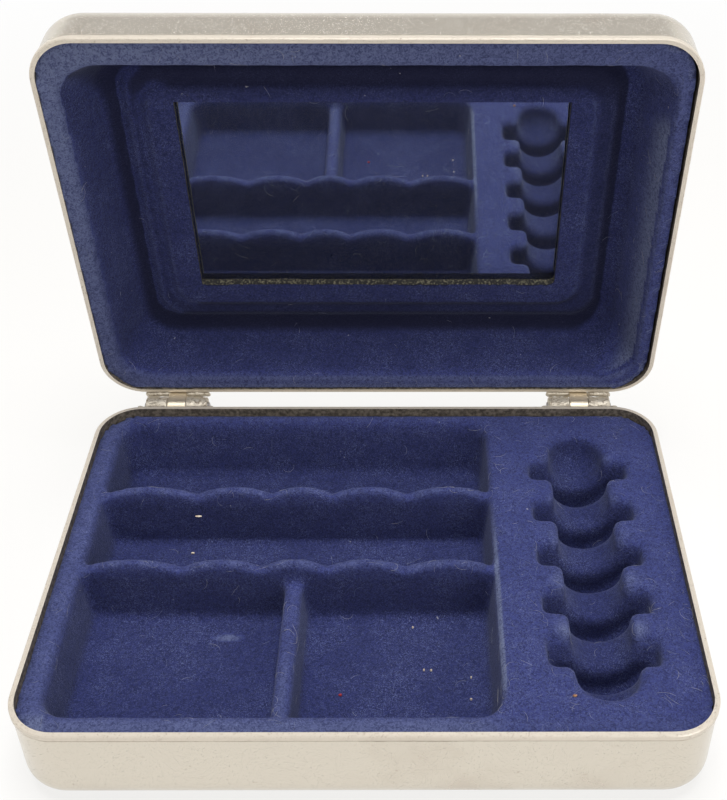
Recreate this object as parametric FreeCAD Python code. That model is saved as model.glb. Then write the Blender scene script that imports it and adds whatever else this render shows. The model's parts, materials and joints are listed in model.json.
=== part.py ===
# Silver-plated jewel box: a flocked tray in the base, a mirror in the lid, and two pinned hinges at the back.
# Millimetres. X runs along the width, Y towards the hinges, Z up. The origin is the middle of the underside.
import FreeCAD, Part
import math
import os

V = FreeCAD.Vector
X_AXIS = V(1, 0, 0)
Z_AXIS = V(0, 0, 1)

# Mouth of the box: the inner edge of both rims
MOUTH_WIDTH = 150.0
MOUTH_DEPTH = 107.0
MOUTH_CORNER = 10.0

# Metal: two drawn pans, and the flat rim soldered to the edge of each
SHEET = 0.9
BASE_HEIGHT = 23.6
BASE_EDGE_RADIUS = 6.5
LID_HEIGHT = 19.0
LID_EDGE_RADIUS = 9.0
RIM_PROUD = 0.3
RIM_HEIGHT = 1.6
RIM_EDGE = 0.25
RIM_GAP = 0.3

# Felt pad under the base
FELT_THICKNESS = 1.0
FELT_MARGIN = 1.2
FELT_CORNER = 5.0

# Flocked liners: both are smaller than the mouth and glued in against two of its walls
LINER_SHEET = 1.0
LINER_CORNER_EASE = 0.6
BASE_LINER_SLACK_X = 1.0
BASE_LINER_SLACK_Y = 0.6
LID_LINER_SLACK_X = 1.7
LID_LINER_SLACK_Y = 0.6
SHOULDER_RADIUS = 1.7

# Tray of the base: flange widths from the mouth, depths from the rim
FLANGE_RECESS = 2.2
FLANGE_LEFT = 5.0
FLANGE_FRONT = 6.1
FLANGE_BACK = 2.8
TRAY_CORNER = 5.8
TRAY_FLOOR_DEPTH = 17.8
TRAY_WALL_LEAN = 1.6
TRAY_BACK_LEAN = 4.4
TRAY_FLOOR_FILLET = 2.5

# Two scalloped ribs across the tray, and the divider between the two front compartments
REAR_ROW_LENGTH = 28.6
MIDDLE_ROW_LENGTH = 25.8
RIB_TOP_THICKNESS = 2.2
RIB_FOOT_THICKNESS = 5.4
RIB_CUSP_DEPTH = 3.6
SCALLOP_RISE = 2.9
SCALLOP_MIDDLE_WIDTH = 15.5
SCALLOP_NEXT_WIDTH = 19.25
SCALLOP_VALLEY_RADIUS = 1.6
RIB_EDGE_RADIUS = 1.0
DIVIDER_TO_RIGHT_WALL = 48.6
DIVIDER_TOP_DEPTH = 6.0
DIVIDER_TOP_THICKNESS = 4.0
DIVIDER_FOOT_THICKNESS = 5.8
DIVIDER_EDGE_RADIUS = 1.7

# Ring trough: a round-bottomed groove with ball ends, crossed by wider slots on the same centre line
TROUGH_TO_MOUTH = 21.6
TROUGH_TO_TRAY = 23.5
TROUGH_RADIUS = 7.0
TROUGH_AXIS_DEPTH = 4.9
TROUGH_BACK_MARGIN = 9.5
TROUGH_FRONT_MARGIN = 10.6
SLOT_COUNT = 5
SLOT_RADIUS = 12.75
SLOT_WIDTH = 5.6
SLOT_PITCH = 15.4
SLOT_EDGE_RADIUS = 1.4
NOSE_RADIUS = 2.2
WELL_SHOULDER_RADIUS = 1.9

# Lid liner: a deep pan with a stepped frame raised round the mirror window
LID_FLANGE_RECESS = 1.0
LID_FLANGE_SIDE = 6.0
LID_FLANGE_HINGE = 3.5
LID_FLANGE_FRONT = 6.3
LID_POCKET_CORNER = 8.0
LID_WALL_LEAN = 5.0
LID_COVE_RADIUS = 3.0
LID_FLOOR_CLEARANCE = 0.5
GROOVE_SIDE = 4.0
GROOVE_HINGE = 6.2
GROOVE_FRONT = 3.4
FRAME_STEP_WIDTH = 4.7
FRAME_CORNER = 6.0
FRAME_EDGE_RADIUS = 0.5
BORDER_SIDE = 7.15
BORDER_HINGE = 7.9
BORDER_FRONT = 4.2
WINDOW_SHIFT_X = 0.3
WINDOW_CORNER = 1.5

# Mirror glass, and the card between it and the lid pan
GLASS_THICKNESS = 2.0
GLASS_LAP = 2.7
GLASS_BEVEL = 0.3
CARD_THICKNESS = 0.7

# Hinges: outer knuckles on the base, one knuckle and a stop heel on the lid
HINGE_INSET = 18.7
HINGE_AXIS_BEHIND_MOUTH = 4.07
HINGE_AXIS_BELOW_RIM = 2.62
PIN_RADIUS = 1.5
PIN_CLEARANCE = 0.04
PIN_PROUD = 0.5
BASE_KNUCKLE_LENGTH = 5.9
LID_KNUCKLE_EASE = 0.32
LID_KNUCKLE_LENGTH = 4.9
KNUCKLE_GAP = 0.2
LEAF_THICKNESS = 0.7
LEAF_EDGE = 1.0
BASE_LEAF_DROP = 10.0
LID_LEAF_RISE = 9.0
STRAP_THICKNESS = 1.2
STRAP_CLEARANCE = 0.35
HEEL_DROP = 1.7
HEEL_LAP = 1.0
HEEL_CLEARANCE = 0.1
LID_OPEN_ANGLE = 83.4

# Reach of cutting tools past the faces they cut, and the slack for finding edges
CUT_MARGIN = 1.0
NEAR = 1e-4

# Heights that follow from the sizes above
BASE_RIM_TOP = FELT_THICKNESS + BASE_HEIGHT
LID_RIM_BOTTOM = BASE_RIM_TOP + RIM_GAP
FLANGE_TOP = BASE_RIM_TOP - FLANGE_RECESS
TRAY_FLOOR = BASE_RIM_TOP - TRAY_FLOOR_DEPTH
INSERT_FOOT = TRAY_FLOOR - LINER_SHEET / 2
TROUGH_AXIS_Z = BASE_RIM_TOP - TROUGH_AXIS_DEPTH
WELL_CUT_TOP = FLANGE_TOP + CUT_MARGIN

# Places of the tray and the ring well
RIM_LAND = SHEET + RIM_PROUD
HALF_WIDTH = MOUTH_WIDTH / 2
HALF_DEPTH = MOUTH_DEPTH / 2
TROUGH_X = HALF_WIDTH - TROUGH_TO_MOUTH
TRAY_LEFT = FLANGE_LEFT - HALF_WIDTH
TRAY_RIGHT = TROUGH_X - TROUGH_TO_TRAY
TRAY_FRONT = FLANGE_FRONT - HALF_DEPTH
TRAY_BACK = HALF_DEPTH - FLANGE_BACK
TRAY_WIDTH = TRAY_RIGHT - TRAY_LEFT
TRAY_LENGTH = TRAY_BACK - TRAY_FRONT
TRAY_MIDDLE_X = (TRAY_LEFT + TRAY_RIGHT) / 2
TRAY_MIDDLE_Y = (TRAY_FRONT + TRAY_BACK) / 2
DIVIDER_X = TRAY_RIGHT - DIVIDER_TO_RIGHT_WALL
REAR_RIB_Y = TRAY_BACK - REAR_ROW_LENGTH
FRONT_RIB_Y = REAR_RIB_Y - MIDDLE_ROW_LENGTH
TROUGH_BACK = HALF_DEPTH - TROUGH_BACK_MARGIN
TROUGH_FRONT = TROUGH_FRONT_MARGIN - HALF_DEPTH
SLOT_YS = [(i - (SLOT_COUNT - 1) / 2) * SLOT_PITCH for i in range(SLOT_COUNT)]

# Stack of the closed lid, from the pan's inside down to the frame's land
PAN_INSIDE = LID_RIM_BOTTOM + LID_HEIGHT - SHEET
GLASS_BACK = PAN_INSIDE - CARD_THICKNESS
GLASS_FRONT = GLASS_BACK - GLASS_THICKNESS
LAND_FRONT = GLASS_FRONT - LINER_SHEET
GROOVE_BACK = PAN_INSIDE - LID_FLOOR_CLEARANCE
GROOVE_FRONT_Z = GROOVE_BACK - LINER_SHEET
LID_FLANGE_FACE = LID_RIM_BOTTOM + LID_FLANGE_RECESS

# Plan of the lid liner, each as width, length and shift towards the hinges
POCKET_WIDTH = MOUTH_WIDTH - 2 * LID_FLANGE_SIDE
POCKET_LENGTH = MOUTH_DEPTH - LID_FLANGE_HINGE - LID_FLANGE_FRONT
POCKET_SHIFT = (LID_FLANGE_FRONT - LID_FLANGE_HINGE) / 2
FRAME_WIDTH = POCKET_WIDTH - 2 * (LID_WALL_LEAN + GROOVE_SIDE)
FRAME_LENGTH = POCKET_LENGTH - 2 * LID_WALL_LEAN - GROOVE_HINGE - GROOVE_FRONT
FRAME_SHIFT = POCKET_SHIFT + (GROOVE_FRONT - GROOVE_HINGE) / 2
LAND_WIDTH = FRAME_WIDTH - 2 * FRAME_STEP_WIDTH
LAND_LENGTH = FRAME_LENGTH - 2 * FRAME_STEP_WIDTH
WINDOW_WIDTH = LAND_WIDTH - 2 * BORDER_SIDE
WINDOW_LENGTH = LAND_LENGTH - BORDER_HINGE - BORDER_FRONT
WINDOW_SHIFT_Y = FRAME_SHIFT + (BORDER_FRONT - BORDER_HINGE) / 2

# Hinge places
WALL_BACK_Y = HALF_DEPTH + SHEET
RIM_BACK_Y = HALF_DEPTH + RIM_LAND
LEAF_BACK_Y = WALL_BACK_Y + LEAF_THICKNESS
HINGE_X = HALF_WIDTH - HINGE_INSET
HINGE_Y = HALF_DEPTH + HINGE_AXIS_BEHIND_MOUTH
HINGE_Z = BASE_RIM_TOP - HINGE_AXIS_BELOW_RIM
HINGE_POINT = V(0, HINGE_Y, HINGE_Z)
BASE_KNUCKLE_RADIUS = HINGE_Y - RIM_BACK_Y
LID_KNUCKLE_RADIUS = BASE_KNUCKLE_RADIUS - LID_KNUCKLE_EASE
HINGE_HALF = LID_KNUCKLE_LENGTH / 2 + KNUCKLE_GAP + BASE_KNUCKLE_LENGTH
BASE_LEAF_TOP = HINGE_Z - LID_KNUCKLE_RADIUS - HEEL_DROP


def rounded_rectangle(width, length, corner, z, middle_x=0.0, middle_y=0.0):
    """A closed wire of four lines and four corner arcs at height z."""
    x0, x1 = middle_x - width / 2, middle_x + width / 2
    y0, y1 = middle_y - length / 2, middle_y + length / 2
    bow = corner * (1 - math.sqrt(0.5))
    starts = ((x0 + corner, y0), (x1, y0 + corner), (x1 - corner, y1), (x0, y1 - corner))
    ends = ((x1 - corner, y0), (x1, y1 - corner), (x0 + corner, y1), (x0, y0 + corner))
    bows = ((x1 - bow, y0 + bow), (x1 - bow, y1 - bow), (x0 + bow, y1 - bow), (x0 + bow, y0 + bow))
    edges = []
    for i in range(4):
        end = V(*ends[i], z)
        following = V(*starts[(i + 1) % 4], z)
        edges.append(Part.LineSegment(V(*starts[i], z), end).toShape())
        edges.append(Part.Arc(end, V(*bows[i], z), following).toShape())
    return Part.Wire(edges)


def block(width, length, corner, z0, z1, middle_x=0.0, middle_y=0.0):
    """A rounded rectangular prism between two heights."""
    wire = rounded_rectangle(width, length, corner, z0, middle_x, middle_y)
    return Part.Face(wire).extrude(V(0, 0, z1 - z0))


def polygon(points):
    """A flat face through points given as vectors."""
    return Part.Face(Part.makePolygon(points + points[:1]))


def edges_at_height(shape, z):
    """The edges of a shape that lie wholly at one height."""
    return [e for e in shape.Edges if abs(e.BoundBox.ZMin - z) < NEAR and abs(e.BoundBox.ZMax - z) < NEAR]


def edges_within(edges, x0, x1, y0, y1):
    """Those edges that lie inside a plan rectangle or on its border."""
    boxes = [(e, e.BoundBox) for e in edges]
    return [e for e, b in boxes if b.XMin > x0 - NEAR and b.XMax < x1 + NEAR
            and b.YMin > y0 - NEAR and b.YMax < y1 + NEAR]


def opened(shape):
    """A lid piece, modelled closed, turned about the hinge pins to the open pose."""
    turned = shape.copy()
    turned.rotate(HINGE_POINT, -X_AXIS, LID_OPEN_ANGLE)
    return turned


def pan(grow, z0, z1, edge_radius):
    """A solid pan standing on its closed end, which has a rounded edge."""
    solid = block(MOUTH_WIDTH + 2 * grow, MOUTH_DEPTH + 2 * grow, MOUTH_CORNER + grow, z0, z1)
    return solid.makeFillet(edge_radius, edges_at_height(solid, z0))


def shell(height, edge_radius):
    """A drawn sheet-metal pan, open at the top, reaching up to where its rim is soldered on."""
    inside = pan(0, SHEET, height, edge_radius - SHEET)
    return pan(SHEET, 0, height - RIM_HEIGHT, edge_radius).cut(inside)


def rim(z0):
    """The flat rim frame, a little proud of the pan, with its outer edges broken by the file."""
    outer = block(MOUTH_WIDTH + 2 * RIM_LAND, MOUTH_DEPTH + 2 * RIM_LAND, MOUTH_CORNER + RIM_LAND,
                  z0, z0 + RIM_HEIGHT)
    outer = outer.makeChamfer(RIM_EDGE, edges_at_height(outer, z0) + edges_at_height(outer, z0 + RIM_HEIGHT))
    hole = block(MOUTH_WIDTH, MOUTH_DEPTH, MOUTH_CORNER, z0 - CUT_MARGIN, z0 + RIM_HEIGHT + CUT_MARGIN)
    return outer.cut(hole)


def flip_to_lid(shape):
    """Turn a pan that opens upwards into a closed lid, with its mouth plane at the lid's rim."""
    turned = shape.copy()
    turned.rotate(V(0, 0, 0), X_AXIS, 180)
    turned.translate(V(0, 0, LID_RIM_BOTTOM + LID_HEIGHT))
    return turned


def base_shell():
    tub = shell(BASE_HEIGHT, BASE_EDGE_RADIUS)
    tub.translate(V(0, 0, FELT_THICKNESS))
    return tub


def lid_shell():
    return opened(flip_to_lid(shell(LID_HEIGHT, LID_EDGE_RADIUS)))


def base_rim():
    return rim(BASE_RIM_TOP - RIM_HEIGHT)


def lid_rim():
    return opened(rim(LID_RIM_BOTTOM))


def base_felt():
    """Felt glued to the flat of the underside."""
    inset = 2 * (BASE_EDGE_RADIUS - SHEET + FELT_MARGIN)
    return block(MOUTH_WIDTH - inset, MOUTH_DEPTH - inset, FELT_CORNER, 0, FELT_THICKNESS)


def tray_pocket(grow):
    """The hollow of the whole tray, grown outwards by the sheet for its outer side."""
    out = 2 * grow
    floor_z = TRAY_FLOOR - grow
    foot = rounded_rectangle(TRAY_WIDTH - 2 * TRAY_WALL_LEAN + out,
                             TRAY_LENGTH - TRAY_WALL_LEAN - TRAY_BACK_LEAN + out,
                             TRAY_CORNER - TRAY_WALL_LEAN + grow, floor_z, TRAY_MIDDLE_X,
                             TRAY_MIDDLE_Y + (TRAY_WALL_LEAN - TRAY_BACK_LEAN) / 2)
    mouth = rounded_rectangle(TRAY_WIDTH + out, TRAY_LENGTH + out,
                              TRAY_CORNER + grow, FLANGE_TOP, TRAY_MIDDLE_X, TRAY_MIDDLE_Y)
    hollow = Part.makeLoft([foot, mouth], True, True)
    return hollow.makeFillet(TRAY_FLOOR_FILLET + grow, edges_at_height(hollow, floor_z))


def scalloped_rib(y):
    """A leaning-sided rib whose top edge is a row of scallops, running into the tray's side walls."""
    cusp_z = BASE_RIM_TOP - RIB_CUSP_DEPTH
    inner = SCALLOP_MIDDLE_WIDTH / 2
    outer = inner + SCALLOP_NEXT_WIDTH
    xs = [TRAY_LEFT] + [DIVIDER_X + o for o in (-outer, -inner, inner, outer)] + [TRAY_RIGHT]
    edges = []
    for x0, x1 in zip(xs, xs[1:]):
        crest = V((x0 + x1) / 2, y, cusp_z + SCALLOP_RISE)
        edges.append(Part.Arc(V(x0, y, cusp_z), crest, V(x1, y, cusp_z)).toShape())
    corners = (V(TRAY_RIGHT, y, cusp_z), V(TRAY_RIGHT, y, INSERT_FOOT),
               V(TRAY_LEFT, y, INSERT_FOOT), V(TRAY_LEFT, y, cusp_z))
    for a, b in zip(corners, corners[1:]):
        edges.append(Part.LineSegment(a, b).toShape())
    outline = Part.Face(Part.Wire(edges))
    outline.translate(V(0, -RIB_FOOT_THICKNESS, 0))
    scallops = outline.extrude(V(0, 2 * RIB_FOOT_THICKNESS, 0))
    cross_edges = [e for e in edges_at_height(scallops, cusp_z) if e.BoundBox.XLength < NEAR]
    valleys = [e for e in cross_edges if TRAY_LEFT + NEAR < e.BoundBox.XMin < TRAY_RIGHT - NEAR]
    scallops = scallops.makeFillet(SCALLOP_VALLEY_RADIUS, valleys)
    top_z = cusp_z + SCALLOP_RISE + CUT_MARGIN
    top, foot = RIB_TOP_THICKNESS / 2, RIB_FOOT_THICKNESS / 2
    section = polygon([V(TRAY_LEFT, y - foot, INSERT_FOOT), V(TRAY_LEFT, y + foot, INSERT_FOOT),
                       V(TRAY_LEFT, y + top, top_z), V(TRAY_LEFT, y - top, top_z)])
    rib = section.extrude(V(TRAY_WIDTH, 0, 0)).common(scallops)
    crest = [e for e in rib.Edges if e.BoundBox.ZMin > cusp_z - NEAR and e.BoundBox.XLength > NEAR]
    return rib.makeFillet(RIB_EDGE_RADIUS, crest)


def front_divider():
    """The low round-topped wall between the two front compartments."""
    top_z = BASE_RIM_TOP - DIVIDER_TOP_DEPTH
    x, y = DIVIDER_X, TRAY_FRONT
    top, foot = DIVIDER_TOP_THICKNESS / 2, DIVIDER_FOOT_THICKNESS / 2
    section = polygon([V(x - foot, y, INSERT_FOOT), V(x + foot, y, INSERT_FOOT),
                       V(x + top, y, top_z), V(x - top, y, top_z)])
    wall = section.extrude(V(0, FRONT_RIB_Y - TRAY_FRONT, 0))
    crest = [e for e in edges_at_height(wall, top_z) if e.BoundBox.XLength < NEAR]
    return wall.makeFillet(DIVIDER_EDGE_RADIUS, crest)


def u_section(radius, y):
    """A half round below the trough's axis with upright sides to just above the flange."""
    left, right = V(TROUGH_X - radius, y, TROUGH_AXIS_Z), V(TROUGH_X + radius, y, TROUGH_AXIS_Z)
    bottom = V(TROUGH_X, y, TROUGH_AXIS_Z - radius)
    left_top, right_top = V(left.x, y, WELL_CUT_TOP), V(right.x, y, WELL_CUT_TOP)
    edges = [Part.Arc(left, bottom, right).toShape()]
    for a, b in ((right, right_top), (right_top, left_top), (left_top, left)):
        edges.append(Part.LineSegment(a, b).toShape())
    return Part.Face(Part.Wire(edges))


def ball_end(radius, y, sweep):
    """Half of the section turned about the upright line at the trough's end."""
    low, side = V(TROUGH_X, y, TROUGH_AXIS_Z - radius), V(TROUGH_X + radius, y, TROUGH_AXIS_Z)
    turn = radius * math.sqrt(0.5)
    bend = V(TROUGH_X + turn, y, TROUGH_AXIS_Z - turn)
    middle_top, side_top = V(TROUGH_X, y, WELL_CUT_TOP), V(side.x, y, WELL_CUT_TOP)
    edges = [Part.Arc(low, bend, side).toShape()]
    for a, b in ((side, side_top), (side_top, middle_top), (middle_top, low)):
        edges.append(Part.LineSegment(a, b).toShape())
    return Part.Face(Part.Wire(edges)).revolve(low, Z_AXIS, sweep)


def trough(grow):
    """The ring trough's hollow: a straight run and two ball ends."""
    radius = TROUGH_RADIUS + grow
    back, front = TROUGH_BACK - TROUGH_RADIUS, TROUGH_FRONT + TROUGH_RADIUS
    run = u_section(radius, front).extrude(V(0, back - front, 0))
    return run.fuse([ball_end(radius, back, 180), ball_end(radius, front, -180)]).removeSplitter()


def ring_slot(y, grow):
    """One slot across the trough, with rounded inner edges."""
    half = SLOT_WIDTH / 2 + grow
    slot = u_section(SLOT_RADIUS + grow, y - half).extrude(V(0, 2 * half, 0))
    side_edges = [e for e in slot.Edges
                  if e.BoundBox.YLength < NEAR and e.BoundBox.ZMin < WELL_CUT_TOP - NEAR]
    return slot.makeFillet(SLOT_EDGE_RADIUS + grow, side_edges)


def ring_well(grow):
    """Trough and slots together."""
    return trough(grow).fuse([ring_slot(y, grow) for y in SLOT_YS]).removeSplitter()


def soften_well(sheet):
    """Round the noses between the slots, then the well's edge all the way round."""
    sides = [y + turn * SLOT_WIDTH / 2 for y in SLOT_YS for turn in (-1, 1)]
    noses = []
    for y in sides:
        noses += edges_within(sheet.Edges, TROUGH_X - TROUGH_RADIUS, TROUGH_X + TROUGH_RADIUS, y, y)
    sheet = sheet.makeFillet(NOSE_RADIUS, noses)
    mouth = edges_within(edges_at_height(sheet, FLANGE_TOP), TROUGH_X - SLOT_RADIUS, TROUGH_X + SLOT_RADIUS,
                         TROUGH_FRONT, TROUGH_BACK)
    return sheet.makeFillet(WELL_SHOULDER_RADIUS, mouth)


def base_liner():
    """One formed sheet: flange, tray with ribs and divider, and the ring well."""
    flange = block(MOUTH_WIDTH - BASE_LINER_SLACK_X, MOUTH_DEPTH - BASE_LINER_SLACK_Y,
                   MOUTH_CORNER + LINER_CORNER_EASE, FLANGE_TOP - LINER_SHEET, FLANGE_TOP,
                   BASE_LINER_SLACK_X / 2, BASE_LINER_SLACK_Y / 2)
    above = block(MOUTH_WIDTH, MOUTH_DEPTH, MOUTH_CORNER, FLANGE_TOP, WELL_CUT_TOP + CUT_MARGIN)
    sheet = flange.fuse([tray_pocket(LINER_SHEET), ring_well(LINER_SHEET)]).cut(above)
    sheet = sheet.cut(tray_pocket(0)).cut(ring_well(0)).removeSplitter()
    tray_edge = edges_within(edges_at_height(sheet, FLANGE_TOP), TRAY_LEFT, TRAY_RIGHT, TRAY_FRONT, TRAY_BACK)
    sheet = soften_well(sheet.makeFillet(SHOULDER_RADIUS, tray_edge))
    inserts = [scalloped_rib(FRONT_RIB_Y), scalloped_rib(REAR_RIB_Y), front_divider()]
    above_flange = block(TRAY_WIDTH, TRAY_LENGTH, TRAY_CORNER, FLANGE_TOP, BASE_RIM_TOP,
                         TRAY_MIDDLE_X, TRAY_MIDDLE_Y)
    envelope = tray_pocket(LINER_SHEET / 2).fuse(above_flange)
    return sheet.fuse([i.common(envelope) for i in inserts]).removeSplitter()


def lid_pocket(grow):
    """The hollow of the lid liner, as a closed lid: mouth at the bottom, groove floor at the top."""
    out, lean = 2 * grow, 2 * LID_WALL_LEAN
    floor_z = GROOVE_FRONT_Z + grow
    mouth = rounded_rectangle(POCKET_WIDTH + out, POCKET_LENGTH + out, LID_POCKET_CORNER + grow,
                              LID_FLANGE_FACE, 0, POCKET_SHIFT)
    foot = rounded_rectangle(POCKET_WIDTH - lean + out, POCKET_LENGTH - lean + out, LID_POCKET_CORNER + grow,
                             floor_z, 0, POCKET_SHIFT)
    hollow = Part.makeLoft([mouth, foot], True, True)
    return hollow.makeFillet(LID_COVE_RADIUS + grow, edges_at_height(hollow, floor_z))


def frame_step(width, length, front_z):
    """One step of the frame round the mirror, its front edge rounded."""
    step = block(width, length, FRAME_CORNER, front_z, GROOVE_BACK, 0, FRAME_SHIFT)
    return step.makeFillet(FRAME_EDGE_RADIUS, edges_at_height(step, front_z))


def lid_liner():
    """Formed liner with a two-step frame; the mirror lies in the hollow behind the upper step."""
    flange = block(MOUTH_WIDTH - LID_LINER_SLACK_X, MOUTH_DEPTH - LID_LINER_SLACK_Y,
                   MOUTH_CORNER + LINER_CORNER_EASE, LID_FLANGE_FACE, LID_FLANGE_FACE + LINER_SHEET,
                   -LID_LINER_SLACK_X / 2, LID_LINER_SLACK_Y / 2)
    sheet = flange.fuse(lid_pocket(LINER_SHEET)).cut(lid_pocket(0)).removeSplitter()
    half_width, half_length = POCKET_WIDTH / 2, POCKET_LENGTH / 2
    mouth_edge = edges_within(edges_at_height(sheet, LID_FLANGE_FACE), -half_width, half_width,
                              POCKET_SHIFT - half_length, POCKET_SHIFT + half_length)
    sheet = sheet.makeFillet(SHOULDER_RADIUS, mouth_edge)
    steps = [frame_step(FRAME_WIDTH, FRAME_LENGTH, (GROOVE_FRONT_Z + LAND_FRONT) / 2),
             frame_step(LAND_WIDTH, LAND_LENGTH, LAND_FRONT)]
    hollow = block(LAND_WIDTH - 2 * LINER_SHEET, LAND_LENGTH - 2 * LINER_SHEET, FRAME_CORNER - LINER_SHEET,
                   GLASS_FRONT, PAN_INSIDE, 0, FRAME_SHIFT)
    window = block(WINDOW_WIDTH, WINDOW_LENGTH, WINDOW_CORNER, LAND_FRONT - CUT_MARGIN, PAN_INSIDE,
                   WINDOW_SHIFT_X, WINDOW_SHIFT_Y)
    return opened(sheet.fuse(steps).cut(hollow).cut(window).removeSplitter())


def behind_window(z0, z1):
    """A plate a little larger than the window."""
    return block(WINDOW_WIDTH + 2 * GLASS_LAP, WINDOW_LENGTH + 2 * GLASS_LAP, WINDOW_CORNER, z0, z1,
                 WINDOW_SHIFT_X, WINDOW_SHIFT_Y)


def mirror():
    glass = behind_window(GLASS_FRONT, GLASS_BACK)
    return opened(glass.makeChamfer(GLASS_BEVEL, edges_at_height(glass, GLASS_FRONT)))


def mirror_backing():
    return opened(behind_window(GLASS_BACK, PAN_INSIDE))


def knuckle(radius, x0, x1):
    """A hinge barrel along X."""
    return Part.makeCylinder(radius, x1 - x0, V(x0, HINGE_Y, HINGE_Z), X_AXIS)


def pin_bore(middle_x):
    reach = HINGE_HALF + CUT_MARGIN
    return knuckle(PIN_RADIUS + PIN_CLEARANCE, middle_x - reach, middle_x + reach)


def base_leaf(middle_x):
    """A leaf on the tub's back wall, carrying the two outer knuckles."""
    bottom = HINGE_Z - BASE_LEAF_DROP
    leaf = Part.makeBox(2 * HINGE_HALF, LEAF_THICKNESS, BASE_LEAF_TOP - bottom,
                        V(middle_x - HINGE_HALF, WALL_BACK_Y, bottom))
    low_corners = [e for e in leaf.Edges if e.BoundBox.YLength > NEAR and e.BoundBox.ZMax < bottom + NEAR
                   and e.BoundBox.XLength < NEAR]
    leaf = leaf.makeFillet(LEAF_EDGE, low_corners)
    arms = []
    for x0 in (middle_x - HINGE_HALF, middle_x + HINGE_HALF - BASE_KNUCKLE_LENGTH):
        arm = polygon([V(x0, WALL_BACK_Y, BASE_LEAF_TOP), V(x0, WALL_BACK_Y, HINGE_Z),
                       V(x0, HINGE_Y, HINGE_Z), V(x0, HINGE_Y, HINGE_Z - BASE_KNUCKLE_RADIUS),
                       V(x0, LEAF_BACK_Y, BASE_LEAF_TOP)]).extrude(V(BASE_KNUCKLE_LENGTH, 0, 0))
        arms.append(arm.fuse(knuckle(BASE_KNUCKLE_RADIUS, x0, x0 + BASE_KNUCKLE_LENGTH)))
    return leaf.fuse(arms).cut(pin_bore(middle_x)).removeSplitter()


def lid_leaf(middle_x):
    """A strap on the lid's back wall, curled round the pin, with a heel that stops the lid when open."""
    x0 = middle_x - LID_KNUCKLE_LENGTH / 2
    along = V(LID_KNUCKLE_LENGTH, 0, 0)
    strap_front = RIM_BACK_Y + STRAP_CLEARANCE
    strap_back = strap_front + STRAP_THICKNESS
    step_z = LID_RIM_BOTTOM + RIM_HEIGHT + STRAP_CLEARANCE
    strap_top = step_z + LID_LEAF_RISE
    strap = polygon([V(x0, WALL_BACK_Y, strap_top), V(x0, WALL_BACK_Y, step_z), V(x0, strap_front, step_z),
                     V(x0, strap_front, HINGE_Z), V(x0, HINGE_Y, HINGE_Z),
                     V(x0, HINGE_Y, HINGE_Z + PIN_RADIUS), V(x0, strap_back, HINGE_Z + LID_KNUCKLE_RADIUS),
                     V(x0, strap_back, step_z + STRAP_THICKNESS),
                     V(x0, LEAF_BACK_Y, strap_top)]).extrude(along)
    barrel = knuckle(LID_KNUCKLE_RADIUS, x0, x0 + LID_KNUCKLE_LENGTH)
    heel_front = LEAF_BACK_Y + HEEL_CLEARANCE
    heel_low = BASE_LEAF_TOP - HEEL_LAP
    heel = polygon([V(x0, heel_front, HINGE_Z), V(x0, heel_front, heel_low),
                    V(x0, heel_front + STRAP_THICKNESS, heel_low), V(x0, HINGE_Y + STRAP_THICKNESS, HINGE_Z),
                    V(x0, HINGE_Y, HINGE_Z + PIN_RADIUS)]).extrude(along)
    return opened(strap.fuse(barrel)).fuse(heel).cut(pin_bore(middle_x)).removeSplitter()


def hinge_pin(middle_x):
    """A plain pin with domed ends that stand a little proud of the outer knuckles."""
    reach = HINGE_HALF + PIN_PROUD
    pin = knuckle(PIN_RADIUS, middle_x - reach, middle_x + reach)
    ends = [e for e in pin.Edges if e.BoundBox.XLength < NEAR]
    return pin.makeFillet(PIN_PROUD, ends)


def build():
    pieces = {
        "base_shell": base_shell(),
        "base_rim": base_rim(),
        "base_liner": base_liner(),
        "base_felt": base_felt(),
        "lid_shell": lid_shell(),
        "lid_rim": lid_rim(),
        "lid_liner": lid_liner(),
        "mirror": mirror(),
        "mirror_backing": mirror_backing(),
    }
    for side, middle_x in (("left", -HINGE_X), ("right", HINGE_X)):
        pieces[side + "_hinge_base_leaf"] = base_leaf(middle_x)
        pieces[side + "_hinge_lid_leaf"] = lid_leaf(middle_x)
        pieces[side + "_hinge_pin"] = hinge_pin(middle_x)
    return pieces


os.makedirs("parts", exist_ok=True)
for name, shape in build().items():
    print(name, "valid", shape.isValid(), "solids", len(shape.Solids), "volume %.1f" % shape.Volume)
    shape.exportStep("parts/" + name + ".step")
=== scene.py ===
# %% [markdown]
# # A jewel box with a flocked tray and a lid mirror
# The box is a pressed tub and a pressed lid of plated metal, each with a flat rim soldered round its mouth.
# A blue flocked liner sits in each half. The CAD model already has every piece at its true size,
# so this lesson loads it first and then dresses it piece by piece.

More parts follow.
